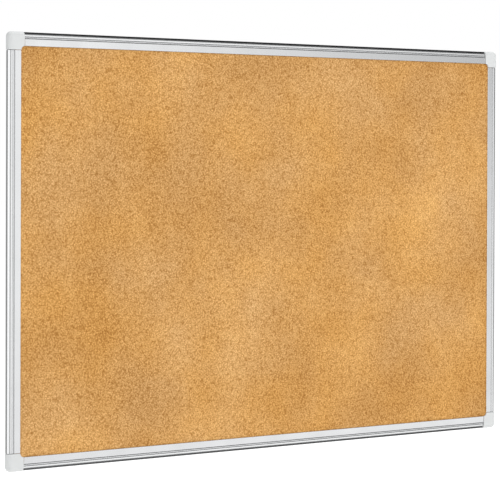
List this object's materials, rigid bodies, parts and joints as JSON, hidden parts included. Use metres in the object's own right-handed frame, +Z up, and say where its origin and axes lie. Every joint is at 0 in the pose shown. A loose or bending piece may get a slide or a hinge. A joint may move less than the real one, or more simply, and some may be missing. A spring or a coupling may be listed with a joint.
{
  "type": "cork bulletin board",
  "caption": "Wall-hung cork bulletin board: flat cork-faced panel in a slim aluminium frame with light grey clip-on corner caps over the wall fixings.",
  "frame": {"origin": "centre of the four wall-fixing holes, in the wall plane that the rear faces touch", "axes": "+X to the right along the board's width, +Z up along its height, -Y out of the wall, the way the cork faces"},
  "size_m": [0.9, 0.009, 0.6],
  "materials": {
    "rail_aluminium": "extruded, satin silver anodised",
    "cap_plastic": "moulded ABS, light grey, fine satin",
    "bracket_plastic": "moulded glass-filled nylon, dark grey, matt",
    "cork": "fine-grain agglomerated cork, sanded, unsealed",
    "softboard": "wood-fibre softboard",
    "backing_paper": "kraft paper sheet, glued on",
    "screw_steel": "bright zinc plated"
  },
  "bodies": {
    "board": {"rail_top": "rail_aluminium", "rail_bottom": "rail_aluminium", "rail_left": "rail_aluminium", "rail_right": "rail_aluminium", "backing_sheet": "backing_paper", "softboard_core": "softboard", "cork_sheet": "cork", "corner_bracket_top_left": "bracket_plastic", "corner_bracket_top_right": "bracket_plastic", "corner_bracket_bottom_left": "bracket_plastic", "corner_bracket_bottom_right": "bracket_plastic", "screw_top_rail_right_end": "screw_steel", "screw_top_rail_left_end": "screw_steel", "screw_bottom_rail_left_end": "screw_steel", "screw_bottom_rail_right_end": "screw_steel", "screw_left_rail_top_end": "screw_steel", "screw_left_rail_bottom_end": "screw_steel", "screw_right_rail_bottom_end": "screw_steel", "screw_right_rail_top_end": "screw_steel"},
    "cap_top_left": {"corner_cap_top_left": "cap_plastic"},
    "cap_top_right": {"corner_cap_top_right": "cap_plastic"},
    "cap_bottom_left": {"corner_cap_bottom_left": "cap_plastic"},
    "cap_bottom_right": {"corner_cap_bottom_right": "cap_plastic"}
  },
  "joints": [
    {"name": "cap_top_left_pull", "type": "slide", "parent": "board", "child": "cap_top_left", "axis": [0, -1, 0], "range_m": [0, 0.02]},
    {"name": "cap_top_right_pull", "type": "slide", "parent": "board", "child": "cap_top_right", "axis": [0, -1, 0], "range_m": [0, 0.02]},
    {"name": "cap_bottom_left_pull", "type": "slide", "parent": "board", "child": "cap_bottom_left", "axis": [0, -1, 0], "range_m": [0, 0.02]},
    {"name": "cap_bottom_right_pull", "type": "slide", "parent": "board", "child": "cap_bottom_right", "axis": [0, -1, 0], "range_m": [0, 0.02]}
  ]
}
